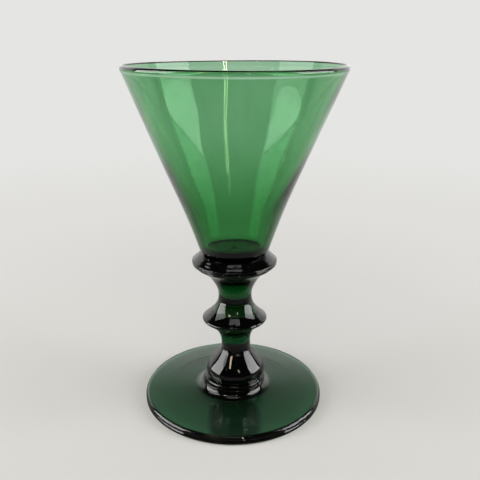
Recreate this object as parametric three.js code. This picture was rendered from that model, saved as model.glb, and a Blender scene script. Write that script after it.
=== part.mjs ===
// A green drinking glass of the old hand-blown kind: a conical bowl on a sharp-edged collar, a bladed knop,
// a bell-shaped knop, a thin ring and a round foot. Each was a gather of glass of its own, added hot to the last,
// so the pieces meet face to face on flat round seats. Millimetres, +Z up, origin on the table on the glass's axis.

import * as THREE from "three";

// Foot
const FOOT_RADIUS = 34.3;
const FOOT_EDGE_THICKNESS = 3.4;
const FOOT_TOP_CORNER = 0.6;
const FOOT_BOTTOM_CORNER = 0.4;
const FOOT_EDGE_BATTER = 0.25;
const FOOT_TOP_SLOPE = 2.6;
const FOOT_FILLET_WIDTH = 3.2;
const FOOT_FILLET_RISE = 1.9;

// Underside of the foot
const CONTACT_BAND_WIDTH = 5.4;
const FOOT_KICK = 1.0;
const FOOT_KICK_SLOPE = 5;
const PONTIL_RADIUS = 8.0;
const PONTIL_DEPTH = 0.6;

// Bell-shaped base knop, and the lower neck that it is drawn up into
const BASE_KNOP_RADIUS = 11.4;
const BASE_KNOP_SET_IN = 0.45;
const BASE_KNOP_ROLL = 0.9;
const BASE_KNOP_WAIST = 0.5;
const SHOULDER_SET_IN = 3.0;
const SHOULDER_RISE = 5.7;
const SHOULDER_SLOPE = 47;
const LOWER_NECK_RADIUS = 5.25;
const LOWER_NECK_RISE = 6.2;
const LOWER_NECK_FLARE = 1.15;
const LOWER_NECK_FLARE_RISE = 4.4;
const LOWER_SEAT_SLOPE = 64;

// Ring between the foot and the base knop
const RING_THICKNESS = 3.0;
const RING_STAND_OUT = 0.3;
const RING_SET_IN = 0.5;

// Bladed knop, and the upper neck that flares to a small lip under the collar
const BLADE_RADIUS = 12.15;
const BLADE_RISE = 4.9;
const BLADE_ROUNDING = 0.7;
const BLADE_EDGE_DROP = 1.05;
const BLADE_EDGE_RISE = 0.8;
const BLADE_UNDER_SLOPE = 37;
const BLADE_ROOT_SLOPE = 60;
const BLADE_TOP_SLOPE = 39;
const UPPER_NECK_RADIUS = 6.0;
const UPPER_NECK_RISE = 8.45;
const FLARE_RISE = 11.2;
const FLARE_SLOPE = 30;
const FLARE_LIP_ROUNDING = 0.65;
const FLARE_LIP_SET_IN = 0.45;

// Collar under the bowl
const COLLAR_REACH = 3.15;
const COLLAR_THICKNESS = 5.2;
const COLLAR_EDGE_HEIGHT = 1.15;
const COLLAR_EDGE_RISE = 0.8;
const COLLAR_ROUNDING = 0.7;
const COLLAR_OVERHANG = 1.4;
const COLLAR_UNDER_SLOPE = 12;
const COLLAR_TOP_SLOPE = 41;
const COLLAR_ROOT_SLOPE = 68;

// Bowl
const BOWL_HEIGHT = 65.6;
const BOWL_SEAT_RADIUS = 12.5;
const BOWL_HEEL_LEAN = 18.5;
const BOWL_BEND_HEIGHT = 20;
const BOWL_BEND_SPREAD = 7.3;
const RIM_RADIUS = 38.35;
const LIP_SWELL = 0.5;
const LIP_CREST_SET_IN = 1.1;
const LIP_SHOULDER_SET_IN = 0.3;
const LIP_SHOULDER_DROP = 0.5;
const LIP_SHOULDER_SLOPE = 42;
const LIP_EDGE_DROP = 0.7;
const LIP_INNER_DROP = 0.7;
const LIP_BEAD_HEIGHT = 2.6;
const LIP_STAND_OUT = 0.3;
const WALL_AT_LIP = 1.2;
const WALL_AT_HEEL = 2.1;
const BOWL_FLOOR_THICKNESS = 1.5;
const BOWL_FLOOR_RADIUS = 7.6;
const BOWL_FLOOR_RISE = 2.4;
const NIB_RADIUS = 1.5;
const NIB_HEIGHT = 0.7;
const NIB_SLOPE = 35;

// How finely the round forms are drawn
const SIDES = 48;
const SWEEP_STEPS = 5;
const CORNER_STEPS = 2;
const HANDLE_SHARE = 0.38;

// Directions in which an outline runs, in degrees
const OUTWARDS = 0;
const UPWARDS = 90;
const INWARDS = 180;
const DOWNWARDS = 270;

const tangent = (degrees) => Math.tan(THREE.MathUtils.degToRad(degrees));

// Radii of the ring, the collar and the lip under it, which follow from the pieces that they meet
const RING_RADIUS = BASE_KNOP_RADIUS + RING_STAND_OUT;
const COLLAR_RADIUS = BOWL_SEAT_RADIUS + COLLAR_REACH;
const FLARE_LIP_RADIUS = COLLAR_RADIUS - COLLAR_OVERHANG;

// Radii of the flat round seats, each shared by the piece below and the piece above it
const RING_SEAT_RADIUS = RING_RADIUS - RING_SET_IN;
const BASE_KNOP_SEAT_RADIUS = BASE_KNOP_RADIUS - BASE_KNOP_SET_IN;
const BLADE_KNOP_SEAT_RADIUS = LOWER_NECK_RADIUS + LOWER_NECK_FLARE;
const COLLAR_SEAT_RADIUS = FLARE_LIP_RADIUS - FLARE_LIP_SET_IN;

// The foot's top, from its corner to where the fillet starts
const FOOT_FLAT_RADIUS = FOOT_RADIUS - FOOT_TOP_CORNER;
const FILLET_RADIUS = RING_SEAT_RADIUS + FOOT_FILLET_WIDTH;
const FILLET_BASE = FOOT_EDGE_THICKNESS + (FOOT_FLAT_RADIUS - FILLET_RADIUS) * tangent(FOOT_TOP_SLOPE);

// Heights above the table: each piece stands on the one below, and its stretches add up to its length
const RING_BASE = FILLET_BASE + FOOT_FILLET_RISE;
const BASE_KNOP_BASE = RING_BASE + RING_THICKNESS;
const SHOULDER_BASE = BASE_KNOP_BASE + BASE_KNOP_ROLL + BASE_KNOP_WAIST;
const LOWER_NECK = SHOULDER_BASE + SHOULDER_RISE + LOWER_NECK_RISE;
const BLADE_KNOP_BASE = LOWER_NECK + LOWER_NECK_FLARE_RISE;
const BLADE_EDGE = BLADE_KNOP_BASE + BLADE_RISE + BLADE_EDGE_DROP;
const UPPER_NECK = BLADE_EDGE + BLADE_EDGE_RISE + UPPER_NECK_RISE;
const FLARE_LIP = UPPER_NECK + FLARE_RISE + FLARE_LIP_ROUNDING;
const COLLAR_BASE = FLARE_LIP + FLARE_LIP_ROUNDING;
const BOWL_BASE = COLLAR_BASE + COLLAR_THICKNESS;
const RIM_TOP = BOWL_BASE + BOWL_HEIGHT;

// An outline of (radius, height) points, drawn from the bottom of the axis round the outside to the top of the axis.
class Outline {
  constructor(height) {
    this.points = [new THREE.Vector2(0, height)];
  }

  lineTo(radius, height) {
    this.points.push(new THREE.Vector2(radius, height));
    return this;
  }

  // A smooth sweep that leaves in one direction and arrives in another. Its handles are a share of its span.
  sweepTo(radius, height, leaving, arriving, steps = SWEEP_STEPS) {
    const start = this.points.at(-1);
    const end = new THREE.Vector2(radius, height);
    const reach = start.distanceTo(end) * HANDLE_SHARE;
    const handle = (degrees) => {
      const angle = THREE.MathUtils.degToRad(degrees);
      return new THREE.Vector2(Math.cos(angle), Math.sin(angle)).multiplyScalar(reach);
    };
    const first = start.clone().add(handle(leaving));
    const second = end.clone().sub(handle(arriving));
    const curve = new THREE.CubicBezierCurve(start, first, second, end);
    this.points.push(...curve.getPoints(steps).slice(1));
    return this;
  }

  cornerTo(radius, height, leaving, arriving) {
    return this.sweepTo(radius, height, leaving, arriving, CORNER_STEPS);
  }

  closeAt(height) {
    return this.lineTo(0, height);
  }
}

// The foot: a disc with a crisp edge that stands on a flat band. Inside the band it is kicked up to the shallow dish
// ground where the pontil rod broke away. Its top climbs gently and turns up in a fillet to the ring's seat.
function footOutline() {
  const contactEdge = FOOT_RADIUS - FOOT_EDGE_BATTER - FOOT_BOTTOM_CORNER;
  return new Outline(FOOT_KICK + PONTIL_DEPTH)
    .sweepTo(PONTIL_RADIUS, FOOT_KICK, OUTWARDS, OUTWARDS - FOOT_KICK_SLOPE)
    .sweepTo(contactEdge - CONTACT_BAND_WIDTH, 0, OUTWARDS, OUTWARDS - FOOT_KICK_SLOPE)
    .lineTo(contactEdge, 0)
    .cornerTo(contactEdge + FOOT_BOTTOM_CORNER, FOOT_BOTTOM_CORNER, OUTWARDS, UPWARDS)
    .lineTo(FOOT_RADIUS, FOOT_EDGE_THICKNESS - FOOT_TOP_CORNER)
    .cornerTo(FOOT_FLAT_RADIUS, FOOT_EDGE_THICKNESS, UPWARDS, INWARDS)
    .lineTo(FILLET_RADIUS, FILLET_BASE)
    .sweepTo(RING_SEAT_RADIUS, RING_BASE, INWARDS, UPWARDS)
    .closeAt(RING_BASE);
}

// The ring: a thin disc with a round edge that stands out a little past the foot's seat and the knop above.
function ringOutline() {
  return new Outline(RING_BASE)
    .lineTo(RING_SEAT_RADIUS, RING_BASE)
    .cornerTo(RING_RADIUS, RING_BASE + RING_THICKNESS / 2, OUTWARDS, UPWARDS)
    .cornerTo(BASE_KNOP_SEAT_RADIUS, BASE_KNOP_BASE, UPWARDS, INWARDS)
    .closeAt(BASE_KNOP_BASE);
}

// The base knop: a bell that rolls out over the ring, stands upright, and slopes in to the lower neck.
function baseKnopOutline() {
  const shoulderRadius = BASE_KNOP_RADIUS - SHOULDER_SET_IN;
  return new Outline(BASE_KNOP_BASE)
    .lineTo(BASE_KNOP_SEAT_RADIUS, BASE_KNOP_BASE)
    .cornerTo(BASE_KNOP_RADIUS, BASE_KNOP_BASE + BASE_KNOP_ROLL, OUTWARDS, UPWARDS)
    .lineTo(BASE_KNOP_RADIUS, SHOULDER_BASE)
    .sweepTo(shoulderRadius, SHOULDER_BASE + SHOULDER_RISE, UPWARDS, INWARDS - SHOULDER_SLOPE)
    .sweepTo(LOWER_NECK_RADIUS, LOWER_NECK, INWARDS - SHOULDER_SLOPE, UPWARDS)
    .sweepTo(BLADE_KNOP_SEAT_RADIUS, BLADE_KNOP_BASE, UPWARDS, LOWER_SEAT_SLOPE)
    .closeAt(BLADE_KNOP_BASE);
}

// The bladed knop: it springs from a crease, runs out to a narrow edge, sweeps in to the upper neck, and flares.
function bladeKnopOutline() {
  const flank = BLADE_RADIUS - BLADE_ROUNDING;
  return new Outline(BLADE_KNOP_BASE)
    .lineTo(BLADE_KNOP_SEAT_RADIUS, BLADE_KNOP_BASE)
    .sweepTo(flank, BLADE_EDGE - BLADE_EDGE_DROP, BLADE_ROOT_SLOPE, BLADE_UNDER_SLOPE)
    .cornerTo(BLADE_RADIUS, BLADE_EDGE, BLADE_UNDER_SLOPE, UPWARDS)
    .cornerTo(flank, BLADE_EDGE + BLADE_EDGE_RISE, UPWARDS, INWARDS - BLADE_TOP_SLOPE)
    .sweepTo(UPPER_NECK_RADIUS, UPPER_NECK, INWARDS - BLADE_TOP_SLOPE, UPWARDS)
    .sweepTo(FLARE_LIP_RADIUS - FLARE_LIP_ROUNDING, FLARE_LIP - FLARE_LIP_ROUNDING, UPWARDS, FLARE_SLOPE)
    .cornerTo(FLARE_LIP_RADIUS, FLARE_LIP, FLARE_SLOPE, UPWARDS)
    .cornerTo(COLLAR_SEAT_RADIUS, COLLAR_BASE, UPWARDS, INWARDS)
    .closeAt(COLLAR_BASE);
}

// The collar: a disc with a narrow edge low down, whose top sweeps up to the crease at the bowl.
function collarOutline() {
  const edge = COLLAR_BASE + COLLAR_EDGE_HEIGHT;
  const flat = COLLAR_RADIUS - COLLAR_ROUNDING;
  return new Outline(COLLAR_BASE)
    .lineTo(COLLAR_SEAT_RADIUS, COLLAR_BASE)
    .cornerTo(COLLAR_RADIUS, edge, COLLAR_UNDER_SLOPE, UPWARDS)
    .cornerTo(flat, edge + COLLAR_EDGE_RISE, UPWARDS, INWARDS - COLLAR_TOP_SLOPE)
    .sweepTo(BOWL_SEAT_RADIUS, BOWL_BASE, INWARDS - COLLAR_TOP_SLOPE, INWARDS - COLLAR_ROOT_SLOPE)
    .closeAt(BOWL_BASE);
}

// The bowl: it leaves the collar a little steeper than it reaches the lip, which was melted to a thicker bead. The
// bead's crest lies near its inner face, and its top slopes outwards, because the lip was sheared square to the wall.
// The wall thins from heel to lip. Inside, it turns over a round heel into the floor, which bears a small nib.
function bowlOutline() {
  const floor = BOWL_BASE + BOWL_FLOOR_THICKNESS;
  const heel = floor + BOWL_FLOOR_RISE;
  const bend = BOWL_BASE + BOWL_BEND_HEIGHT;
  const beadFoot = RIM_TOP - LIP_BEAD_HEIGHT;
  const crestRadius = RIM_RADIUS - LIP_CREST_SET_IN;
  const shoulderRadius = RIM_RADIUS - LIP_SHOULDER_SET_IN;
  const lipShoulder = RIM_TOP - LIP_SHOULDER_DROP;
  const lipEdge = lipShoulder - LIP_EDGE_DROP;
  const lipThickness = WALL_AT_LIP + LIP_SWELL;
  const heelSlope = UPWARDS - BOWL_HEEL_LEAN;
  const heelRadius = BOWL_SEAT_RADIUS + (heel - BOWL_BASE) * tangent(BOWL_HEEL_LEAN);
  const bendRadius = BOWL_SEAT_RADIUS + BOWL_BEND_SPREAD;
  const wallTop = RIM_RADIUS - LIP_STAND_OUT;
  const wallSlope = THREE.MathUtils.radToDeg(Math.atan2(lipEdge - bend, wallTop - bendRadius));
  const beadFootRadius = wallTop - (lipEdge - beadFoot) / tangent(wallSlope);
  const wallAtBend = (WALL_AT_HEEL + WALL_AT_LIP) / 2;
  return new Outline(BOWL_BASE)
    .lineTo(BOWL_SEAT_RADIUS, BOWL_BASE)
    .sweepTo(bendRadius, bend, heelSlope, wallSlope)
    .lineTo(beadFootRadius, beadFoot)
    .cornerTo(RIM_RADIUS, lipEdge, wallSlope, UPWARDS)
    .cornerTo(shoulderRadius, lipShoulder, UPWARDS, INWARDS - LIP_SHOULDER_SLOPE)
    .cornerTo(crestRadius, RIM_TOP, INWARDS - LIP_SHOULDER_SLOPE, INWARDS)
    .cornerTo(RIM_RADIUS - lipThickness, RIM_TOP - LIP_INNER_DROP, INWARDS, DOWNWARDS)
    .cornerTo(beadFootRadius - WALL_AT_LIP, beadFoot, DOWNWARDS, INWARDS + wallSlope)
    .lineTo(bendRadius - wallAtBend, bend)
    .sweepTo(heelRadius - WALL_AT_HEEL, heel, INWARDS + wallSlope, INWARDS + heelSlope)
    .sweepTo(BOWL_FLOOR_RADIUS, floor, INWARDS + heelSlope, INWARDS)
    .lineTo(NIB_RADIUS, floor)
    .cornerTo(0, floor + NIB_HEIGHT, INWARDS, INWARDS - NIB_SLOPE);
}

// Turns an outline about the axis into a piece of glass.
function turned(name, outline, colour) {
  const geometry = new THREE.LatheGeometry(outline.points, SIDES);
  geometry.rotateX(Math.PI / 2);
  const glass = new THREE.MeshStandardMaterial({ color: colour, roughness: 0.04, metalness: 0 });
  const mesh = new THREE.Mesh(geometry, glass);
  mesh.name = name;
  return mesh;
}

const THICK_GLASS = "#123d22";
const THIN_GLASS = "#4f9a68";

const wineGlass = new THREE.Group();
wineGlass.add(
  turned("foot", footOutline(), THICK_GLASS),
  turned("foot_ring", ringOutline(), THICK_GLASS),
  turned("base_knop", baseKnopOutline(), THICK_GLASS),
  turned("blade_knop", bladeKnopOutline(), THICK_GLASS),
  turned("collar", collarOutline(), THICK_GLASS),
  turned("bowl", bowlOutline(), THIN_GLASS),
);

export default wineGlass;
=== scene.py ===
# %% [markdown]
# # A hand-blown green drinking glass
#
# This lesson dresses a plain model of a drinking glass, so that it looks like real bottle-green glass.
# The plain model comes in as a fixed frame: six turned solids that give each piece its place and its
# size. Every piece gets a fine surface of its own here, with the small unevenness of hot glass that was
# shaped by hand.
#
# Such a glass is built up hot, from one gather of molten glass after another. The bowl is blown first. A
# collar, the knops of the stem and a thin ring are dropped on while the glass turns on its rod, each is
# pinched to shape with a tool, and the foot comes last. The lesson models the pieces from the table
# upwards, then makes the glass itself, and last the paper, the windows and the lamps, because clear glass
# shows little but what stands round it.

# %% Load the frame
import bpy
import numpy as np
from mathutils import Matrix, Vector


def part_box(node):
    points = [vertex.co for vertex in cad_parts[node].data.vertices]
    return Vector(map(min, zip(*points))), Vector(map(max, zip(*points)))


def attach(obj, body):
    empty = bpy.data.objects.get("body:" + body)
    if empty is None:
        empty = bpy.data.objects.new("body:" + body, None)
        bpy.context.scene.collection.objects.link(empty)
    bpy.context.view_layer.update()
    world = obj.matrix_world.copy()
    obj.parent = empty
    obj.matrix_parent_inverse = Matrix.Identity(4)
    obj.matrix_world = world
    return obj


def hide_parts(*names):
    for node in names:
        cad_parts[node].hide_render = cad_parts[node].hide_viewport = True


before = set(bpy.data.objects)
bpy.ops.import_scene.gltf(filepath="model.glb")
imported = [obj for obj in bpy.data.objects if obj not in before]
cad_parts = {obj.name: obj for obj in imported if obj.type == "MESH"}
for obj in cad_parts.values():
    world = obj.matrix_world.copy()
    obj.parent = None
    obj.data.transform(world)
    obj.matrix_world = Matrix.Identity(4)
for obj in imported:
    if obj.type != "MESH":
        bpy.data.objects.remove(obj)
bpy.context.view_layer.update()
MM = 0.001
scene = bpy.context.scene
print("nodes", sorted(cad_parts))

# %% [markdown]
# ## The camera
#
# The photograph was taken from a little above the rim, close to the glass, so the rim shows as a narrow
# ellipse and the foot as a wide one. Four numbers settle that view: how far the camera stands, how high,
# how far to the side, and how steeply it looks down. The lens follows from how many pixels one radian
# takes in the middle of the picture.

# %% Camera
CAMERA_DISTANCE = 215 * MM
CAMERA_HEIGHT = 134.6 * MM
CAMERA_SIDE = 2.05 * MM
CAMERA_PITCH = np.radians(18.32)
CLIP_START = 10 * MM
PICTURE_WIDTH = 480
PIXELS_PER_RADIAN = 618
SENSOR_WIDTH = 36

camera = bpy.data.objects.new("camera", bpy.data.cameras.new("camera"))
camera.data.sensor_width = SENSOR_WIDTH
camera.data.lens = SENSOR_WIDTH * PIXELS_PER_RADIAN / PICTURE_WIDTH
camera.data.clip_start = CLIP_START
camera.location = (CAMERA_SIDE, -CAMERA_DISTANCE, CAMERA_HEIGHT)
camera.rotation_euler = (np.pi / 2 - CAMERA_PITCH, 0, 0)
scene.collection.objects.link(camera)
scene.camera = camera
print("lens", round(camera.data.lens, 2), "mm")

# %% [markdown]
# ## Profiles
#
# A turned piece is a profile carried round an axis. A blown or tooled profile has no corners that a
# compass would draw: it leaves one direction and arrives in another, so each stretch here is a cubic
# Bezier curve whose two handles are a fixed share of its span. Straight stretches are sampled as finely
# as the curves, because the unevenness that is added later needs points everywhere.
#
# From here to the bowl, sizes are in millimetres and directions in degrees, with 0 away from the axis and
# 90 up.

# %% Profile helpers
OUTWARDS, UPWARDS, INWARDS = 0, 90, 180
HANDLE_SHARE = 0.38
PROFILE_STEP = 0.56
FEWEST_STEPS = 10


def heading(degrees):
    """Unit step (radius, height) in a direction: its cosine and its sine."""
    return np.array([np.cos(np.radians(degrees)), np.sin(np.radians(degrees))])


def even_shares(start, end, fewest):
    """Even shares of the way from start to end, in steps of at most PROFILE_STEP, with 1 as the last."""
    steps = max(fewest, int(np.ceil(np.linalg.norm(end - start) / PROFILE_STEP)))
    return (np.arange(1, steps + 1) / steps)[:, None]


def sweep(start, end, leaving, arriving):
    """Points of a cubic Bezier curve after its start. The weights are the four terms of (a + b) cubed, with
    b the share of the way and a = 1 - b, and each handle is HANDLE_SHARE of the span in its direction."""
    start, end = np.array(start, float), np.array(end, float)
    reach = np.linalg.norm(end - start) * HANDLE_SHARE
    first = start + reach * heading(leaving)
    second = end - reach * heading(arriving)
    b = even_shares(start, end, FEWEST_STEPS)
    a = 1 - b
    return a**3 * start + 3 * a**2 * b * first + 3 * a * b**2 * second + b**3 * end


def straight(start, end):
    """Points after the start on the straight line from start to end, evenly spaced."""
    start, end = np.array(start, float), np.array(end, float)
    return start + (end - start) * even_shares(start, end, 1)


def profile(start, *stretches):
    """Joins stretches into one profile of (radius, height) points, from axis to axis.

    A stretch is (radius, height) for a straight one, (radius, height, leaving, arriving) for a sweep, or
    ("seat", radius, height) for the flat face where two pieces are fused. Also returns which steps lie on
    a seat."""
    points = [np.array([start], float)]
    seats = []
    for stretch in stretches:
        last = points[-1][-1]
        if len(stretch) == 4:
            new = sweep(last, stretch[:2], *stretch[2:])
        else:
            new = straight(last, stretch[-2:])
        points.append(new)
        seats += [stretch[0] == "seat"] * len(new)
    return np.concatenate(points), np.array(seats)


print("a quarter round of 1 mm has", len(sweep((1, 0), (0, 1), UPWARDS, INWARDS)), "steps")

# %% [markdown]
# ## The maker's hand
#
# The six pieces were fused while they turned on a rod, so what is uneven runs through all of them: the
# axis wanders by about half a millimetre to either side, and the sections are not quite round. One warp
# of space, used by every piece, keeps the seats of two neighbours together whatever it does.

# %% Warp shared by all pieces
# Heights on the axis, and how far to the right it lies there, both in millimetres.
WANDER_HEIGHTS = np.array([0, 4, 12, 21, 32, 42, 55, 90, 125])
WANDER_SIDEWAYS = np.array([-0.7, -0.7, 0.3, 0.45, 0.0, 0.2, 0.0, -0.15, 0.3])
OVAL_SHARE = 0.004


def warp(points):
    """Moves points by the wander of the axis at their height, and squeezes them to a slight oval.

    The wander is a smooth curve through the heights above: a sum of cosine steps between neighbours."""
    x, y, z = points[..., 0], points[..., 1], points[..., 2]
    place = np.interp(z, WANDER_HEIGHTS, np.arange(len(WANDER_HEIGHTS)))
    low = np.minimum(place.astype(int), len(WANDER_HEIGHTS) - 2)
    blend = (1 - np.cos(np.pi * (place - low))) / 2
    sideways = WANDER_SIDEWAYS[low] * (1 - blend) + WANDER_SIDEWAYS[low + 1] * blend
    return np.stack([x * (1 + OVAL_SHARE) + sideways, y * (1 - OVAL_SHARE), z], axis=-1)


print("the axis wanders from", WANDER_SIDEWAYS.min(), "to", WANDER_SIDEWAYS.max(), "mm")

# %% [markdown]
# ## A grid that closes round the axis
#
# The grid has one row for each profile point and one column for each direction round the axis. Its last
# column joins its first. Where a row would shrink to a point on the axis, one vertex with a fan of
# triangles takes its place. Everything is worked out as whole arrays, and the mesh takes them in one
# call.

# %% Grid and mesh helpers


def grid_quads(rows, sides):
    """Quads of a grid that closes round the axis: from row i and column j to row i + 1 and column j + 1."""
    here = np.arange(sides)
    after = (here + 1) % sides
    low = np.arange(rows - 1)[:, None] * sides
    high = low + sides
    return np.stack([low + here, low + after, high + after, high + here], axis=-1).reshape(-1, 4)


def fan(first, pole, sides):
    """Triangles from the row that starts at the vertex first to the vertex pole on the axis."""
    here = np.arange(sides)
    after = (here + 1) % sides
    return np.stack([first + here, first + after, np.full(sides, pole)], axis=-1)


def mesh_object(name, vertices, faces):
    """Puts the vertices, in metres, and the faces into a new mesh whose object sits at the origin."""
    mesh = bpy.data.meshes.new(name)
    mesh.from_pydata(vertices.tolist(), [], faces)
    made = bpy.data.objects.new(name, mesh)
    scene.collection.objects.link(made)
    return made


print("a fan of 4 sides is", fan(0, 4, 4).tolist())

# %% [markdown]
# ## Turning a profile into a closed mesh
#
# Both ends of a profile lie on the axis, so a piece is one grid between two fans. Its neighbour's seat
# lies a hair away, because two faces in the same place would flicker. The seats are shaded flat, and an
# attribute marks them, so that the glass can tell them from its free surface.

# %% Mesh from a profile
SIDES = 288
SEAM_GAP = 0.004


def turned_piece(name, outline, seats, uneven=None):
    """A closed mesh: point (i, j) lies at the radius and height of profile point i, in direction j of SIDES.

    uneven(radius, height, angle) may change radius and height before the shared warp moves the point."""
    angle = np.arange(SIDES) * 2 * np.pi / SIDES
    between = outline[1:-1]
    radius = np.repeat(between[:, :1], SIDES, axis=1)
    height = np.repeat(between[:, 1:], SIDES, axis=1)
    if uneven is not None:
        radius, height = uneven(radius, height, angle)
    grid = np.stack([radius * np.cos(angle), radius * np.sin(angle), height], axis=-1)
    poles = [[0, 0, outline[0, 1]], [0, 0, outline[-1, 1]]]
    vertices = warp(np.concatenate([grid.reshape(-1, 3), poles])) * MM

    rows = len(between)
    start_fan = fan(0, rows * SIDES, SIDES)[:, ::-1]
    end_fan = fan((rows - 1) * SIDES, rows * SIDES + 1, SIDES)
    faces = [*start_fan.tolist(), *grid_quads(rows, SIDES).tolist(), *end_fan.tolist()]
    piece = mesh_object(name, vertices, faces)
    on_seat = np.repeat(seats, SIDES)
    piece.data.polygons.foreach_set("use_smooth", ~on_seat)
    fused = piece.data.attributes.new("fused", "FLOAT", "FACE")
    fused.data.foreach_set("value", on_seat.astype(np.float32))
    piece.data.update()
    print(name, len(piece.data.polygons), "faces")
    return piece


print("one column every", 360 / SIDES, "degrees")

# %% [markdown]
# The heights and radii of the plain solids settle where each piece starts and ends. One function
# measures them, and every profile below is built up from what it finds.

# %% Sizes from the frame


def span(node):
    """Lowest height, highest height and largest radius of a frame node, in millimetres."""
    low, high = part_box(node)
    return low.z / MM, high.z / MM, (high.x - low.x) / 2 / MM


for node in sorted(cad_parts):
    print(node, "low, high, radius:", [round(size, 1) for size in span(node)])

# %% [markdown]
# ## The foot
#
# The foot is a disc of glass that was dropped on hot, pressed flat between boards and spun round. It
# stands on a band near its edge, and its underside is kicked up to the shallow dish where the rod broke
# away.
#
# A disc could be a cylinder with a bevel, but a bevel is the same all round and has flat sides. The
# profile below gives what the eye reads as hot glass: a top that falls gently to a full, round edge, and
# an edge that tucks under before it meets the table. It rises again where the ring pulled it up.

# %% Sizes of the foot
FOOT_TOP_CORNER, FOOT_BOTTOM_CORNER = 1.5, 1.9
FOOT_BATTER = 0.25
FOOT_EDGE_HEIGHT = 3.4
FOOT_TOP_SLOPE = 2.6
RISE_START, RISE_RADIUS, RISE_DROP, RISE_SLOPE = 14.8, 12.0, 0.5, 48
CONTACT_WIDTH = 5.4
KICK, KICK_SLOPE = 1.0, 5
DISH_RADIUS, DISH_DEPTH = 8.0, 0.6
RING_SET_IN = 0.1

_, foot_top, foot_radius = span("foot")
ring_base, ring_top, ring_radius = span("foot_ring")
ring_seat = ring_radius - RING_SET_IN
contact_edge = foot_radius - FOOT_BATTER - FOOT_BOTTOM_CORNER
contact_start = contact_edge - CONTACT_WIDTH
top_fall = (foot_radius - FOOT_TOP_CORNER - RISE_START) * np.tan(np.radians(FOOT_TOP_SLOPE))
rise_height = FOOT_EDGE_HEIGHT + top_fall
print("foot stands on a band", round(contact_start, 1), "to", round(contact_edge, 1), "mm from the axis")

# %% [markdown]
# The unevenness goes in before the mesh is made, as a function of radius, height and direction. A foot
# that was spun by hand is a little thicker on one side and a little oval, and its top keeps faint rings
# from the board.

# %% Foot
EDGE_LIFT, EDGE_TILT = 0.3, 0.6
RIPPLE, RIPPLE_PITCH = 0.005, 2.3
FRONT_TUCK = 1.9
EDGE_OVAL, OVAL_TURN = 0.3, -2.1


def hand_spun(radius, height, angle):
    """The rim is thicker on one side: the top rises with the sine of the direction, in step with the radius.
    Fine rings lie round the top: a sine of the radius. The outline is a little oval: a sine of twice the
    direction, with the square of the radius. The lower edge tucks under less in front, by half of one minus
    the sine of the direction."""
    on_top = np.clip((height - FOOT_BOTTOM_CORNER) / (FOOT_EDGE_HEIGHT - FOOT_TOP_CORNER), 0, 1)
    outwards = np.clip((radius - ring_seat) / (foot_radius - ring_seat), 0, 1)
    rings = np.sin(2 * np.pi * radius / RIPPLE_PITCH) * np.sin(np.pi * outwards)
    lift = (EDGE_LIFT + EDGE_TILT * np.sin(angle)) * outwards + RIPPLE * rings
    low_down = np.clip(1 - height / FOOT_BOTTOM_CORNER, 0, 1) * outwards**4
    fuller = FRONT_TUCK * low_down * (1 - np.sin(angle)) / 2
    oval = EDGE_OVAL * np.sin(2 * angle + OVAL_TURN) * outwards**2
    return radius + fuller + oval, height + on_top * lift


foot_outline = profile(
    (0, KICK + DISH_DEPTH),
    (DISH_RADIUS, KICK, OUTWARDS, -KICK_SLOPE),
    (contact_start, 0, OUTWARDS, -KICK_SLOPE),
    (contact_edge, 0),
    (contact_edge + FOOT_BOTTOM_CORNER, FOOT_BOTTOM_CORNER, OUTWARDS, UPWARDS),
    (foot_radius, FOOT_EDGE_HEIGHT - FOOT_TOP_CORNER),
    (foot_radius - FOOT_TOP_CORNER, FOOT_EDGE_HEIGHT, UPWARDS, INWARDS),
    (RISE_START, rise_height),
    (RISE_RADIUS, foot_top - RISE_DROP, INWARDS - FOOT_TOP_SLOPE, INWARDS - RISE_SLOPE),
    (ring_seat, foot_top - SEAM_GAP, INWARDS - RISE_SLOPE, INWARDS),
    ("seat", 0, foot_top - SEAM_GAP),
)
foot = turned_piece("blown_foot", *foot_outline, hand_spun)

# %% [markdown]
# ## The ring between foot and stem
#
# A merese is a thin disc of glass that was dropped on hot and squeezed, so it has a thin flange below and
# a soft roll above, with a groove where the tool ran. Two close bright lines in the photograph are the
# light on the flange and on the roll. A torus would give a single line, so the profile goes in and out
# once more.

# %% Ring
_, base_top, base_radius = span("base_knop")
BASE_SET_IN = 1.0
FLANGE_OUT, FLANGE_LOW, FLANGE_HIGH = 0.45, 0.5, 1.0
BRIM_IN, BRIM_RISE, BRIM_SLOPE = 0.1, 1.3, 12
GROOVE_IN, GROOVE_RISE, GROOVE_ABOVE = 0.9, 1.45, 30
ROLL_IN, ROLL_RISE, ROLL_SLOPE = 0.2, 1.9, 52
base_seat = base_radius - BASE_SET_IN
ring_outline = profile(
    (0, ring_base + SEAM_GAP),
    ("seat", ring_seat, ring_base + SEAM_GAP),
    (ring_radius + FLANGE_OUT, ring_base + FLANGE_LOW, OUTWARDS, UPWARDS),
    (ring_radius + FLANGE_OUT, ring_base + FLANGE_HIGH),
    (ring_radius + BRIM_IN, ring_base + BRIM_RISE, UPWARDS, INWARDS - BRIM_SLOPE),
    (ring_radius - GROOVE_IN, ring_base + GROOVE_RISE),
    (ring_radius - ROLL_IN, ring_base + ROLL_RISE, GROOVE_ABOVE, UPWARDS),
    (base_seat, ring_top - SEAM_GAP, UPWARDS, INWARDS - ROLL_SLOPE),
    ("seat", 0, ring_top - SEAM_GAP),
)
ring = turned_piece("foot_merese", *ring_outline)

# %% [markdown]
# ## The bell-shaped knop
#
# The lowest knop has the shape of a bell: a short waist over the ring, a round shoulder, a straight cone
# and a narrow neck. The straight cone matters most. On a cone the image of a window is a panel with
# straight sides, and on a round shoulder it would be a thin curved line.

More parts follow.
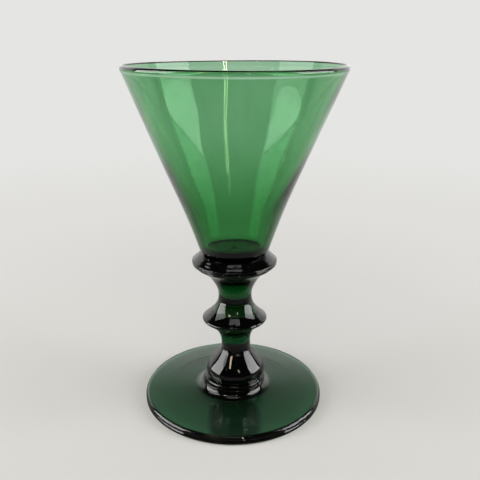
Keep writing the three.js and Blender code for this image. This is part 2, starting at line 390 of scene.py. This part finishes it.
# %% Base knop
WAIST_RISE, WAIST_IN, WAIST_SLOPE = 1.6, 0.1, 50
SHOULDER_SET_IN, SHOULDER_RISE, SHOULDER_SLOPE = 1.7, 4.4, 49
CONE_RADIUS = 6.2
LOWER_NECK_RADIUS, LOWER_NECK_DROP = 5.5, 5.0
LOWER_FLARE_IN, LOWER_FLARE_SLOPE = 0.9, 64
blade_seat = LOWER_NECK_RADIUS + LOWER_FLARE_IN
waist = base_radius - WAIST_IN
waist_height = ring_top + WAIST_RISE
shoulder = waist - SHOULDER_SET_IN
cone_base = waist_height + SHOULDER_RISE
cone_top = cone_base + (shoulder - CONE_RADIUS) * np.tan(np.radians(SHOULDER_SLOPE))
base_outline = profile(
    (0, ring_top + SEAM_GAP),
    ("seat", base_seat, ring_top + SEAM_GAP),
    (waist, waist_height, WAIST_SLOPE, UPWARDS),
    (shoulder, cone_base, UPWARDS, INWARDS - SHOULDER_SLOPE),
    (CONE_RADIUS, cone_top),
    (LOWER_NECK_RADIUS, base_top - LOWER_NECK_DROP, INWARDS - SHOULDER_SLOPE, UPWARDS),
    (blade_seat, base_top - SEAM_GAP, UPWARDS, LOWER_FLARE_SLOPE),
    ("seat", 0, base_top - SEAM_GAP),
)
base_knop = turned_piece("bell_knop", *base_outline)

# %% [markdown]
# ## The bladed knop
#
# A bladed knop is squeezed out to a sharp edge with the jacks, a pair of blunt tongs. Its edge is never
# as sharp as a knife: the hot glass pulls itself round, here to less than half a millimetre. Above it
# stands the upper neck, a narrow place that lets light through from behind, and a flare like the mouth
# of a trumpet.

# %% Bladed knop
blade_low, blade_top, flare_radius = span("blade_knop")
BLADE_RADIUS, BLADE_RISE, BLADE_ROUNDING = 12.15, 5.95, 0.45
BLADE_DROP, BLADE_LIFT = 0.8, 0.6
BLADE_ROOT, BLADE_UNDER, BLADE_OVER = 60, 37, 39
UPPER_NECK_RADIUS, UPPER_NECK_RISE = 6.2, 9.2
TRUMPET_RADIUS, TRUMPET_RISE, TRUMPET_SLOPE = 7.3, 4.4, 62
FLARE_SLOPE, FLARE_ROUNDING, FLARE_SET_IN = 30, 0.65, 0.45
blade_edge = blade_low + BLADE_RISE
flank = BLADE_RADIUS - BLADE_ROUNDING
upper_neck = blade_edge + UPPER_NECK_RISE
collar_seat = flare_radius - FLARE_SET_IN
blade_outline = profile(
    (0, blade_low + SEAM_GAP),
    ("seat", blade_seat, blade_low + SEAM_GAP),
    (flank, blade_edge - BLADE_DROP, BLADE_ROOT, BLADE_UNDER),
    (BLADE_RADIUS, blade_edge, BLADE_UNDER, UPWARDS),
    (flank, blade_edge + BLADE_LIFT, UPWARDS, INWARDS - BLADE_OVER),
    (UPPER_NECK_RADIUS, upper_neck, INWARDS - BLADE_OVER, UPWARDS),
    (TRUMPET_RADIUS, upper_neck + TRUMPET_RISE, UPWARDS, TRUMPET_SLOPE),
    (flare_radius - FLARE_ROUNDING, blade_top - 2 * FLARE_ROUNDING, TRUMPET_SLOPE, FLARE_SLOPE),
    (flare_radius, blade_top - FLARE_ROUNDING, FLARE_SLOPE, UPWARDS),
    (collar_seat, blade_top - SEAM_GAP, UPWARDS, INWARDS),
    ("seat", 0, blade_top - SEAM_GAP),
)
blade_knop = turned_piece("bladed_knop", *blade_outline)

# %% [markdown]
# ## The collar
#
# The widest merese carries the bowl. The tool left fine ridges on it: a groove in the edge, a crease
# halfway up and a dip next to the bowl. Each is a change of direction in the profile and not a drawn
# line, so that each catches the light at its own angle.

# %% Collar
collar_low, collar_top, collar_radius = span("collar")
COLLAR_UNDER = 12
LOW_EDGE_IN, LOW_EDGE_RISE = 0.15, 0.5
EDGE_GROOVE_IN, EDGE_GROOVE_RISE, EDGE_GROOVE_SLOPE = 0.45, 0.9, 50
EDGE_RISE = 1.4
BRINK_IN, BRINK_RISE, BRINK_SLOPE = 0.4, 1.9, 40
CREASE_RADIUS, CREASE_RISE, CREASE_BELOW, CREASE_ABOVE = 14.0, 3.05, 38, 44
DIP_RADIUS, DIP_RISE, DIP_SLOPE = 12.4, 4.37, 28
HEEL_SET_IN, COLLAR_ROOT = 1.5, 40
COLLAR_REACH = 3.15
heel_foot = collar_radius - COLLAR_REACH
bowl_seat = heel_foot - HEEL_SET_IN
collar_outline = profile(
    (0, collar_low + SEAM_GAP),
    ("seat", collar_seat, collar_low + SEAM_GAP),
    (collar_radius - LOW_EDGE_IN, collar_low + LOW_EDGE_RISE, COLLAR_UNDER, UPWARDS),
    (collar_radius - EDGE_GROOVE_IN, collar_low + EDGE_GROOVE_RISE, UPWARDS, INWARDS - EDGE_GROOVE_SLOPE),
    (collar_radius, collar_low + EDGE_RISE, EDGE_GROOVE_SLOPE, UPWARDS),
    (collar_radius - BRINK_IN, collar_low + BRINK_RISE, UPWARDS, INWARDS - BRINK_SLOPE),
    (CREASE_RADIUS, collar_low + CREASE_RISE, INWARDS - BRINK_SLOPE, INWARDS - CREASE_BELOW),
    (DIP_RADIUS, collar_low + DIP_RISE, INWARDS - CREASE_ABOVE, INWARDS - DIP_SLOPE),
    (bowl_seat, collar_top - SEAM_GAP, INWARDS - DIP_SLOPE, INWARDS - COLLAR_ROOT),
    ("seat", 0, collar_top - SEAM_GAP),
)
collar = turned_piece("bowl_collar", *collar_outline)

# %% [markdown]
# ## The bowl
#
# The bowl is a bubble that was blown, opened and drawn out to a cone. Both its sides are modelled,
# because light that goes through it is bent at both. The wall is thinnest under the lip and thickest at
# the heel, so the green deepens downwards by itself. The lip was cut with shears and melted round in the
# fire: its outer half is rounder than its inner half. Light that enters the outer half is thrown down
# inside the wall and never comes out, which draws the black line along the front of the lip.

# %% Sizes of the bowl
bowl_low, rim_top, rim_radius = span("bowl")
HEEL_LEAN, HEEL_CURVE = 18.5, 1.1
BEND_HEIGHT, BEND_SPREAD = 20, 7.3
LIP_ROUND, LIP_INNER_ROUND = 1.05, 0.3
LIP_BEAD, LIP_STAND_OUT = 2.6, 0.15
WALL_AT_BEND, WALL_AT_HEEL = 2.5, 2.75
WALL_EASE = 3.6
FLOOR_THICKNESS, FLOOR_RADIUS, FLOOR_RISE = 1.5, 7.6, 2.4
NIB_RADIUS, NIB_HEIGHT, NIB_SLOPE = 1.5, 0.7, 35
heel_slope = UPWARDS - HEEL_LEAN
heel_spread = np.tan(np.radians(HEEL_LEAN))
floor_height = bowl_low + FLOOR_THICKNESS
heel = floor_height + FLOOR_RISE
heel_radius = heel_foot + (heel - bowl_low) * heel_spread
bend = bowl_low + BEND_HEIGHT
bend_radius = heel_foot + BEND_SPREAD
lip = rim_top - LIP_ROUND
bead_foot = rim_top - LIP_BEAD
wall_top = rim_radius - LIP_STAND_OUT
wall_at_lip = LIP_ROUND + LIP_INNER_ROUND
wall_slope = np.degrees(np.arctan2(lip - bend, wall_top - bend_radius))
inner_slope = INWARDS + wall_slope
bead_radius = wall_top - (lip - bead_foot) / np.tan(np.radians(wall_slope))
print("wall leans", round(90 - wall_slope, 1), "degrees from upright")

# %% [markdown]
# Blown glass is never quite round. Two slow waves run round and up the wall, by a few hundredths of a
# millimetre. That is too little to see in the outline, but it makes the edges of every mirrored window
# waver.

# %% Bowl
WAVE_OUTER, WAVE_INNER = 0.03, 0.05
BROAD_WAVES, BROAD_RISE = 3, 7
CLOSE_WAVES, CLOSE_RISE, CLOSE_SHARE = 7, 4, 0.6
CLOSE_TURN, CLOSE_TURN_INSIDE = 1, 2
RIM_WAVE, RIM_TURN = 0.15, 0.5


def hand_blown(radius, height, angle):
    """Two slow waves cross the wall, each a sine of the direction and the height. They are stronger on the
    inner side, which no tool touched. The lip rises and falls with the sine of twice the direction, and with
    the cube of the height over the bend."""
    wall = np.interp(height, [bowl_low, bend, lip], [heel_foot, bend_radius, rim_radius])
    inner = np.clip((wall - radius) / wall_at_lip, 0, 1)
    free = np.clip((height - heel) / BEND_HEIGHT, 0, 1)
    broad = np.sin(BROAD_WAVES * angle + height / BROAD_RISE)
    close = np.sin(CLOSE_WAVES * angle - height / CLOSE_RISE + CLOSE_TURN + CLOSE_TURN_INSIDE * inner)
    swell = free * (broad + CLOSE_SHARE * close) * (WAVE_OUTER + (WAVE_INNER - WAVE_OUTER) * inner)
    top = np.clip((height - bend) / (rim_top - bend), 0, 1)
    return radius + swell, height + RIM_WAVE * top**3 * np.sin(2 * angle + RIM_TURN)


bowl_outline = profile(
    (0, bowl_low + SEAM_GAP),
    ("seat", bowl_seat, bowl_low + SEAM_GAP),
    (heel_foot + HEEL_CURVE * heel_spread, bowl_low + HEEL_CURVE, OUTWARDS, heel_slope),
    (bend_radius, bend, heel_slope, wall_slope),
    (bead_radius, bead_foot),
    (rim_radius, lip, wall_slope, UPWARDS),
    (rim_radius - LIP_ROUND, rim_top, UPWARDS, INWARDS),
    (rim_radius - wall_at_lip, rim_top - LIP_INNER_ROUND, INWARDS, inner_slope),
    (bend_radius - WALL_AT_BEND, bend, inner_slope, inner_slope - WALL_EASE),
    (heel_radius - WALL_AT_HEEL, heel, inner_slope - WALL_EASE, INWARDS + heel_slope),
    (FLOOR_RADIUS, floor_height, INWARDS + heel_slope, INWARDS),
    (NIB_RADIUS, floor_height),
    (0, floor_height + NIB_HEIGHT, INWARDS, INWARDS - NIB_SLOPE),
)
bowl = turned_piece("blown_bowl", *bowl_outline, hand_blown)

# %% [markdown]
# ## Helpers for materials
#
# Colours are written as sRGB hex codes, as a colour picker shows them, and turned to linear light in one
# place. One small function adds any kind of node with its settings and its links.

# %% Colour and node helpers
MATH, VECTOR_MATH, MAP_RANGE = "ShaderNodeMath", "ShaderNodeVectorMath", "ShaderNodeMapRange"
MULTIPLY, MAXIMUM = {"operation": "MULTIPLY"}, {"operation": "MAXIMUM"}
LESS, MORE = {"operation": "LESS_THAN"}, {"operation": "GREATER_THAN"}
SMOOTH = {"interpolation_type": "SMOOTHSTEP"}


def linear(code):
    """sRGB hex to linear RGBA, by the curve of sRGB: a straight line up to 0.04045, then the 2.4 power."""
    srgb = np.array([int(code[i : i + 2], 16) for i in (1, 3, 5)]) / 255
    return (*np.where(srgb <= 0.04045, srgb / 12.92, ((srgb + 0.055) / 1.055) ** 2.4), 1.0)


def add_node(tree, kind, settings=None, **inputs):
    """Adds one node. Settings are its own properties. An input is named as its socket, or i and its number,
    and takes a value, another node's output socket, or another node, which stands for its first output."""
    node = tree.nodes.new(kind)
    for name, value in (settings or {}).items():
        setattr(node, name, value)
    for name, value in inputs.items():
        socket = node.inputs[int(name[1:]) if name.startswith("i") else name.replace("_", " ")]
        if isinstance(value, bpy.types.Node):
            value = value.outputs[0]
        if isinstance(value, bpy.types.NodeSocket):
            tree.links.new(value, socket)
        else:
            socket.default_value = value
    return node


def cleared_tree(owner):
    """The node tree of a material, a lamp or a world, with nothing in it yet."""
    owner.use_nodes = True
    owner.node_tree.nodes.clear()
    return owner.node_tree


print("mid grey is", round(linear("#808080")[0], 3), "in linear light")

# %% [markdown]
# ## Bottle-green glass
#
# The green of a bottle comes from iron in the sand. It is a body colour and not a surface colour: a thin
# wall is pale green and a thick stem almost black, though both are the same glass. So the surface is
# clear, with the refractive index of soda-lime glass, and the body takes out light with depth, red and
# blue faster than green. A tinted surface with no body would make the stem and the wall equally green.
#
# Where two pieces are fused there is no surface at all in the real glass. The seats therefore get the
# index of air by a face attribute, so that no light is bent or mirrored there, and the stem looks like
# one melted thing while its pieces stay apart. An exported file takes one index for a whole material and
# leaves this out.
#
# Hot glass that is stirred by hand keeps cords, threads of slightly different glass. On the surface they
# are faint waves, drawn out along the wall. They give each mirrored window a hand-made look instead of
# the hard edge of a new mirror.

# %% Glass material
GLASS_IOR, AIR_IOR = 1.52, 1.0
CORD_HEIGHT = 0.008 * MM
CORD_DETAIL = 2.0
CORD_LOW, CORD_HIGH = 0.3, 0.7
LEAST_CLEAR = 0.97


def glass(name, code, depth, cord_size):
    """Green glass: a clear surface round a body that takes out light by depth, red and blue most.

    The hex code is the colour that white light has left after the given depth in millimetres, so what one
    metre takes out is minus its logarithm over that depth. The cords are noise, stretched to their size in
    millimetres. They raise the surface a little and dim it by up to 1 - LEAST_CLEAR."""
    taken = -np.log(np.array(linear(code)[:3])) / (depth * MM)
    density = taken.max()
    material = bpy.data.materials.new(name)
    tree = cleared_tree(material)
    fused = add_node(tree, "ShaderNodeAttribute", {"attribute_name": "fused"}).outputs["Fac"]
    ior = add_node(tree, MATH, {"operation": "MULTIPLY_ADD"}, i0=fused, i1=AIR_IOR - GLASS_IOR, i2=GLASS_IOR)
    on_piece = add_node(tree, "ShaderNodeTexCoord").outputs["Object"]
    cords_per_metre = [1 / (size * MM) for size in cord_size]
    drawn_out = add_node(tree, "ShaderNodeMapping", Vector=on_piece, Scale=cords_per_metre)
    noise = add_node(tree, "ShaderNodeTexNoise", Vector=drawn_out, Scale=1.0, Detail=CORD_DETAIL)
    cord = noise.outputs["Fac"]
    waves = add_node(tree, "ShaderNodeBump", Strength=1.0, Distance=CORD_HEIGHT, Height=cord)
    cord_range = {"From_Min": CORD_LOW, "From_Max": CORD_HIGH, "To_Min": LEAST_CLEAR, "To_Max": 1.0}
    clarity = add_node(tree, MAP_RANGE, Value=cord, **cord_range)
    surface = add_node(
        tree,
        "ShaderNodeBsdfPrincipled",
        Roughness=0.0,
        Base_Color=clarity,
        Normal=waves,
        Transmission_Weight=1.0,
        IOR=ior,
    )
    body = add_node(tree, "ShaderNodeVolumeAbsorption", Color=(*(1 - taken / density), 1.0), Density=density)
    add_node(tree, "ShaderNodeOutputMaterial", Surface=surface, Volume=body)
    print(name, "takes out red, green and blue at", taken.round().tolist(), "per metre")
    return material


print("the index is", GLASS_IOR, "on the free surface and", AIR_IOR, "on the seats")

# %% [markdown]
# The bowl is paler than the stem even for its thinness, so three strengths of the same green are used:
# blown for the bowl, drawn for the bladed knop with its thin neck, and tooled for the rest. The cords run
# up the wall of the bowl and round the stem.

# %% Three strengths of green
# A cord's size from side to side, from front to back and upwards, in millimetres.
UP_THE_WALL = (3, 3, 25)
ROUND_THE_STEM = (14, 14, 1.8)
# How much glass, in millimetres, gives the colours below.
WALL_DEPTH, STEM_DEPTH = 3.0, 10.0
thin_green = glass("bottle_glass_blown", "#6cb27a", WALL_DEPTH, UP_THE_WALL)
thick_green = glass("bottle_glass_tooled", "#154a26", STEM_DEPTH, ROUND_THE_STEM)
drawn_green = glass("bottle_glass_drawn", "#1a5a2c", STEM_DEPTH, ROUND_THE_STEM)

# %% [markdown]
# Every piece is tied to the body that it belongs to, and the node of the frame that it stands in for is
# hidden. A drinking glass has one body, because nothing on it moves.

# %% Dress the pieces
pieces = {
    "foot": (foot, thick_green, "thick_glass"),
    "foot_ring": (ring, thick_green, "thick_glass"),
    "base_knop": (base_knop, thick_green, "thick_glass"),
    "blade_knop": (blade_knop, drawn_green, "thick_glass"),
    "collar": (collar, thick_green, "thick_glass"),
    "bowl": (bowl, thin_green, "thin_glass"),
}
for node, (piece, material, slot) in pieces.items():
    piece.data.materials.append(material)
    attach(piece, "root")
    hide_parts(node)
    print(piece.name, "of", material.name, "stands in for", node)

# %% [markdown]
# ## The paper
#
# The glass stands on plain white paper that runs on far behind it. The disc of the floor has narrow rings
# near the glass and wide ones far away. From here on, sizes are in metres unless MM stands beside them.

# %% Floor
PAPER_RADIUS, PAPER_RINGS, PAPER_SIDES = 1.5, 60, 96
PAPER_DROP = 0.02 * MM


def disc(radius, rings, sides, level):
    """Rings from the edge inwards, each at the radius times the square of its share, round one vertex in the
    middle. Also returns the faces, which point up."""
    share = np.arange(rings, 0, -1)[:, None] / rings
    angle = np.arange(sides) * 2 * np.pi / sides
    x = share**2 * radius * np.cos(angle)
    y = share**2 * radius * np.sin(angle)
    grid = np.stack([x, y, np.full_like(x, level)], axis=-1).reshape(-1, 3)
    middle = fan((rings - 1) * sides, rings * sides, sides)
    return np.concatenate([grid, [[0, 0, level]]]), [*grid_quads(rings, sides).tolist(), *middle.tolist()]


paper_floor = mesh_object("paper_floor", *disc(PAPER_RADIUS, PAPER_RINGS, PAPER_SIDES, -PAPER_DROP))
print("floor", len(paper_floor.data.polygons), "faces")

# %% [markdown]
# Away from the glass the paper has a painted tone, which the eye sees as evenly lit. The tone changes a
# little with the distance from the glass, because real light is never quite even.

# %% Painted tone
# Distance from the middle of the glass in metres, and the tone there.
PAPER_STOPS = [(0.03, "#d8d7d3"), (0.09, "#dfdeda"), (0.30, "#e0dfdc"), (0.55, "#e5e5e3")]


def fill_ramp(node, stops):
    """Sets a colour ramp to the given stops, each a position and a linear colour."""
    ramp = node.color_ramp
    while len(ramp.elements) < len(stops):
        ramp.elements.new(1.0)
    for stop, (position, colour) in zip(ramp.elements, stops):
        stop.position = position
        stop.color = colour


paper = bpy.data.materials.new("matt_paper")
paper_tree = cleared_tree(paper)
on_paper = add_node(paper_tree, "ShaderNodeTexCoord").outputs["Object"]
from_glass = add_node(paper_tree, VECTOR_MATH, {"operation": "LENGTH"}, i0=on_paper).outputs["Value"]
tone = add_node(paper_tree, "ShaderNodeValToRGB", Fac=from_glass)
fill_ramp(tone, [(distance, linear(code)) for distance, code in PAPER_STOPS])
print("the tone has", len(tone.color_ramp.elements), "stops")

# %% [markdown]
# Close to the glass the paper is mostly a matt surface that takes the shadow and the green light, mixed with
# NEAR_SHARE of painted light, which makes the shadow fainter and stands in for the light that comes down
# through the foot. Right under the middle of the glass nothing is painted, so that the shadow stays there.
# Further out the matt surface fades into the painted tone. Only rays that come straight from the eye or from
# the glass meet that tone, and all other rays meet the matt paper.

# %% Matt and painted paper
PAPER_ALBEDO = "#e2e1de"
NEAR_SHARE = 0.4
FADE_START, FADE_END = 0.06, 0.3
UNDER_START, UNDER_END = 0.004, 0.058

# Painted light near the glass: it lightens the real shadow and stands in for light through the foot, and
# fades to nothing under the middle of the glass.
fade_range = {"From_Min": FADE_START, "From_Max": FADE_END, "To_Min": NEAR_SHARE, "To_Max": 1.0}
fade = add_node(paper_tree, MAP_RANGE, SMOOTH, Value=from_glass, **fade_range)
foot_range = {"From_Min": UNDER_START, "From_Max": UNDER_END}
clear_of_foot = add_node(paper_tree, MAP_RANGE, SMOOTH, Value=from_glass, **foot_range)
painted_share = add_node(paper_tree, MATH, MULTIPLY, i0=fade, i1=clear_of_foot)
paper_ray = add_node(paper_tree, "ShaderNodeLightPath").outputs
seen = add_node(paper_tree, MATH, MAXIMUM, i0=paper_ray["Is Camera Ray"], i1=paper_ray["Is Glossy Ray"])
seen_by_glass = add_node(paper_tree, MATH, MAXIMUM, i0=seen, i1=paper_ray["Is Transmission Ray"])
amount = add_node(paper_tree, MATH, MULTIPLY, i0=seen_by_glass, i1=painted_share)
lit = add_node(paper_tree, "ShaderNodeBsdfDiffuse", Color=linear(PAPER_ALBEDO))
painted = add_node(paper_tree, "ShaderNodeEmission", Color=tone, Strength=1.0)
plain_paper = add_node(paper_tree, "ShaderNodeMixShader", Fac=amount, i1=lit, i2=painted)
print("the paper is painted from", NEAR_SHARE, "near the glass to 1 at", FADE_END, "m")

# %% [markdown]
# In front of the glass, on the camera's side, the paper gets a painted shade on every path that the glass
# has mirrored. Under the front of the foot it holds a painted shadow of the stem, which shows through the
# foot as the stem's dark image: a rectangle with round corners and a soft edge. With x and y as shares of
# its half size, it fades by the root of x to the fourth power plus y to the fourth, which is 1 in the middle
# of the edge.

# %% Painted shade on the paper
# A ray's depth counts its bounces of one kind, so above a half there was at least one.
ANY_DEPTH = 0.5
MIRRORED_FRONT, MIRRORED_BACK = -0.1, 0.22
FRONT_SHADE = 0.75
# Middle, half size, fade and strength of the painted shadow of the stem.
SHADE_MIDDLE, SHADE_HALF_SIZE = (0, -0.021, 0), (0.0095, 0.0125, 1)
SHADE_CORE, SHADE_EDGE, PAINTED_STEM_SHADE = 0.65, 1.25, 0.72

along_room = add_node(paper_tree, "ShaderNodeSeparateXYZ", Vector=on_paper).outputs["Y"]
# Painted shade: the paper in front of the glass is darker, but only on paths that the glass has mirrored.
front_fade = {"From_Min": MIRRORED_FRONT, "From_Max": MIRRORED_BACK, "To_Min": FRONT_SHADE, "To_Max": 0.0}
dark_front = add_node(paper_tree, MAP_RANGE, SMOOTH, Value=along_room, **front_fade)
mirrored = add_node(paper_tree, MATH, MORE, i0=paper_ray["Glossy Depth"], i1=ANY_DEPTH)
dark_mirrored = add_node(paper_tree, MATH, MULTIPLY, i0=dark_front, i1=mirrored)
# Painted shadow of the stem, on the paper under the front of the foot.
centred = add_node(paper_tree, VECTOR_MATH, {"operation": "SUBTRACT"}, i0=on_paper, i1=SHADE_MIDDLE)
fitted = add_node(paper_tree, VECTOR_MATH, {"operation": "DIVIDE"}, i0=centred, i1=SHADE_HALF_SIZE)
squared = add_node(paper_tree, VECTOR_MATH, MULTIPLY, i0=fitted, i1=fitted)
outside = add_node(paper_tree, VECTOR_MATH, {"operation": "LENGTH"}, i0=squared).outputs["Value"]
stem_range = {"From_Min": SHADE_CORE, "From_Max": SHADE_EDGE, "To_Min": PAINTED_STEM_SHADE, "To_Max": 0.0}
painted_stem_shadow = add_node(paper_tree, MAP_RANGE, SMOOTH, Value=outside, **stem_range)
shade = add_node(paper_tree, MATH, MAXIMUM, i0=dark_mirrored, i1=painted_stem_shadow)
dark = add_node(paper_tree, "ShaderNodeEmission", Strength=0.0)
shaded_paper = add_node(paper_tree, "ShaderNodeMixShader", Fac=shade, i1=plain_paper, i2=dark)
add_node(paper_tree, "ShaderNodeOutputMaterial", Surface=shaded_paper)
paper_floor.data.materials.append(paper)
print("paper has", len(paper_tree.nodes), "nodes")

# %% [markdown]
# ## Lamps
#
# Polished glass is drawn by what it mirrors, so each lamp is a softbox, a rectangle with an even glow,
# where 1 is as bright as white paper. Its power is its glow times pi times its area. Seen straight
# through the glass, every lamp has the same low glow, like a window behind net curtains. That holds on
# paths from the eye that only the glass has bent and nothing has mirrored.

# %% Softbox
# The glow that every lamp has where it is seen straight through the glass.
SEEN_THROUGH = 0.8
WHITE = "#ffffff"


def direction(azimuth, elevation):
    """Unit vector away from the glass. Azimuth 0 is the camera's side and positive is to its right."""
    azimuth, elevation = np.radians(azimuth), np.radians(elevation)
    flat = np.cos(elevation)
    return Vector((np.sin(azimuth) * flat, -np.cos(azimuth) * flat, np.sin(elevation)))


def softbox(name, place, away, width, height, glow, code=WHITE):
    """A rectangular lamp at a place, turned back along the direction that leads away from the glass."""
    lamp = bpy.data.lights.new(name, "AREA")
    lamp.shape = "RECTANGLE"
    lamp.size, lamp.size_y = width, height
    lamp.energy = glow * np.pi * width * height
    lamp.color = linear(code)[:3]
    holder = bpy.data.objects.new(name, lamp)
    holder.location = place
    holder.rotation_euler = away.to_track_quat("Z", "Y").to_euler()
    scene.collection.objects.link(holder)

    tree = cleared_tree(lamp)
    ray = add_node(tree, "ShaderNodeLightPath").outputs
    unmirrored = add_node(tree, MATH, LESS, i0=ray["Glossy Depth"], i1=ANY_DEPTH)
    from_eye = add_node(tree, MATH, LESS, i0=ray["Diffuse Depth"], i1=ANY_DEPTH)
    straight_path = add_node(tree, MATH, MULTIPLY, i0=unmirrored, i1=from_eye)
    through_glass = add_node(tree, MATH, MULTIPLY, i0=straight_path, i1=ray["Is Transmission Ray"])
    dimming = SEEN_THROUGH / glow - 1
    dimmed = add_node(tree, MATH, {"operation": "MULTIPLY_ADD"}, i0=through_glass, i1=dimming, i2=1.0)
    emission = add_node(tree, "ShaderNodeEmission", Strength=dimmed)
    add_node(tree, "ShaderNodeOutputLight", Surface=emission)
    print(name, round(width, 3), "by", round(height, 3), "m")


print("level and towards the camera is", [round(part, 2) for part in direction(0, 0)])

# %% [markdown]
# Two tall windows stand left and right of the camera, brighter below than above. They make the pale
# panels in the bowl and on the knops, and the pale lines on the edge of the foot. Each is given by the
# plane that it stands in and by where its sides and its ends lie in that plane.

# %% Windows
WINDOW_DISTANCE = 0.6
# Azimuths faced, near and far in degrees, low and high end in metres, and glow.
WINDOWS = {
    "left_window": (-60, -60, -107, 0.0, 0.54, 5.8),
    "left_window_top": (-60, -60, -107, 0.54, 0.84, 2.4),
    "right_window": (60, 62, 108, 0.05, 0.54, 5.8),
    "right_window_top": (60, 62, 108, 0.54, 0.78, 3.4),
}


def window(name, facing, near, far, low, high, glow):
    """An upright softbox in the plane that faces the glass at the azimuth facing. Its sides lie at the
    azimuths near and far: each is WINDOW_DISTANCE times the tangent of its azimuth less facing."""
    away = direction(facing, 0)
    along = direction(facing + 90, 0)
    start, end = WINDOW_DISTANCE * np.tan(np.radians([near - facing, far - facing]))
    place = away * WINDOW_DISTANCE + along * (start + end) / 2 + Vector((0, 0, (low + high) / 2))
    softbox(name, place, away, abs(end - start), high - low, glow)


for name, sizes in WINDOWS.items():
    window(name, *sizes)

# %% [markdown]
# Two narrow strips side by side make the long streak in the bowl. A warm lamp and two specks make the
# points of light on the bell, and two wide panels of the ceiling make the grey patch on the bladed knop.

# %% Small lamps
LAMP_TARGET = Vector((0, 0, 0.035))
LAMP_DISTANCE = 1.6
# Azimuth and elevation in degrees, width and height in metres, glow and colour.
SMALL_LAMPS = {
    "front_strip": (12.4, 40, 0.022, 0.5, 26.0, "#fff3cf"),
    "front_strip_beside": (15.8, 40, 0.022, 0.5, 22.0, "#fff3cf"),
    "warm_lamp": (-36, 51, 0.28, 0.13, 12.0, "#ffe6c4"),
    "ceiling_low": (0, 55, 0.5, 0.14, 0.7, "#e6e9ff"),
    "ceiling_high": (0, 68.5, 0.8, 0.32, 1.2, WHITE),
    "speck_low": (-22, 25, 0.03, 0.04, 10.0, WHITE),
    "speck_high": (-48, 43, 0.04, 0.03, 12.0, WHITE),
}
for name, (azimuth, elevation, *look) in SMALL_LAMPS.items():
    away_from_glass = direction(azimuth, elevation)
    softbox(name, LAMP_TARGET + away_from_glass * LAMP_DISTANCE, away_from_glass, *look)

# %% [markdown]
# ## The room
#
# Behind the glass the room is pale. For light that the glass has mirrored it is pale only at the back and
# fades to dark above, as in a room with a pale wall and a dark ceiling. Everything else is nearly black,
# and that keeps the thick glass dark. The world's own coordinates are a unit vector, so its z is the sine
# of the elevation, and its y runs from -1 at the camera's side to 1 behind the glass.

# %% Pale parts of the room
# Elevation in degrees, and the share of the pale tone that is left there.
PALE_BY_HEIGHT = [(27, 1.0), (33, 0.28), (38, 0.14), (50, 0.0)]
MIRRORED_GAIN = 1.5
PALE_SIDE_START, PALE_SIDE_END = 0.36, 0.5

world = bpy.data.worlds.new("studio_air")
scene.world = world
world_tree = cleared_tree(world)
sky_place = add_node(world_tree, "ShaderNodeTexCoord").outputs["Generated"]
sky_parts = add_node(world_tree, "ShaderNodeSeparateXYZ", Vector=sky_place).outputs
low_part = add_node(world_tree, "ShaderNodeValToRGB", Fac=sky_parts["Z"])
fill_ramp(low_part, [(np.sin(np.radians(height)), (pale, pale, pale, 1)) for height, pale in PALE_BY_HEIGHT])
back_range = {"From_Min": PALE_SIDE_START, "From_Max": PALE_SIDE_END, "To_Min": 0.0, "To_Max": MIRRORED_GAIN}
back_part = add_node(world_tree, MAP_RANGE, SMOOTH, Value=sky_parts["Y"], **back_range)
print("mirrored light finds a pale room up to", PALE_BY_HEIGHT[-1][0], "degrees")

# %% [markdown]
# The eye itself always sees the pale tone. Light that went straight through the glass is gated by height
# alone, and light that was mirrored by height and side. A little is left everywhere, so that nothing is
# quite black.

# %% World
WORLD_PALE = "#e5e5e3"
WORLD_AMBIENT = 0.04

sky_ray = add_node(world_tree, "ShaderNodeLightPath").outputs
sky_mirrored = add_node(world_tree, MATH, MORE, i0=sky_ray["Glossy Depth"], i1=ANY_DEPTH)
in_mirror = add_node(world_tree, MATH, MULTIPLY, i0=back_part, i1=sky_mirrored)
sky_unmirrored = add_node(world_tree, MATH, LESS, i0=sky_ray["Glossy Depth"], i1=ANY_DEPTH)
sky_seen = add_node(world_tree, MATH, MULTIPLY, i0=sky_unmirrored, i1=sky_ray["Is Transmission Ray"])
by_glass = add_node(world_tree, MATH, MAXIMUM, i0=in_mirror, i1=sky_seen)
by_glass_low = add_node(world_tree, MATH, MULTIPLY, i0=by_glass, i1=low_part)
to_eye = add_node(world_tree, MATH, MAXIMUM, i0=by_glass_low, i1=sky_ray["Is Camera Ray"])
brightness = add_node(world_tree, MATH, MAXIMUM, i0=to_eye, i1=WORLD_AMBIENT)
air = add_node(world_tree, "ShaderNodeBackground", Color=linear(WORLD_PALE), Strength=brightness)
add_node(world_tree, "ShaderNodeOutputWorld", Surface=air)
print("room has", len(world_tree.nodes), "nodes")

# %% [markdown]
# Light crosses two faces at every wall and is mirrored many times inside the thick stem. A path that is
# cut off too early turns black, so the render may follow each path for longer than it would by itself.

# %% View and light paths
THROUGH_GLASS, MIRRORED_TIMES = 32, 16
scene.view_settings.view_transform = "Standard"
scene.cycles.max_bounces = THROUGH_GLASS
scene.cycles.transmission_bounces = THROUGH_GLASS
scene.cycles.transparent_max_bounces = THROUGH_GLASS
scene.cycles.glossy_bounces = MIRRORED_TIMES
print("a path may cross", THROUGH_GLASS, "faces and be mirrored", MIRRORED_TIMES, "times")
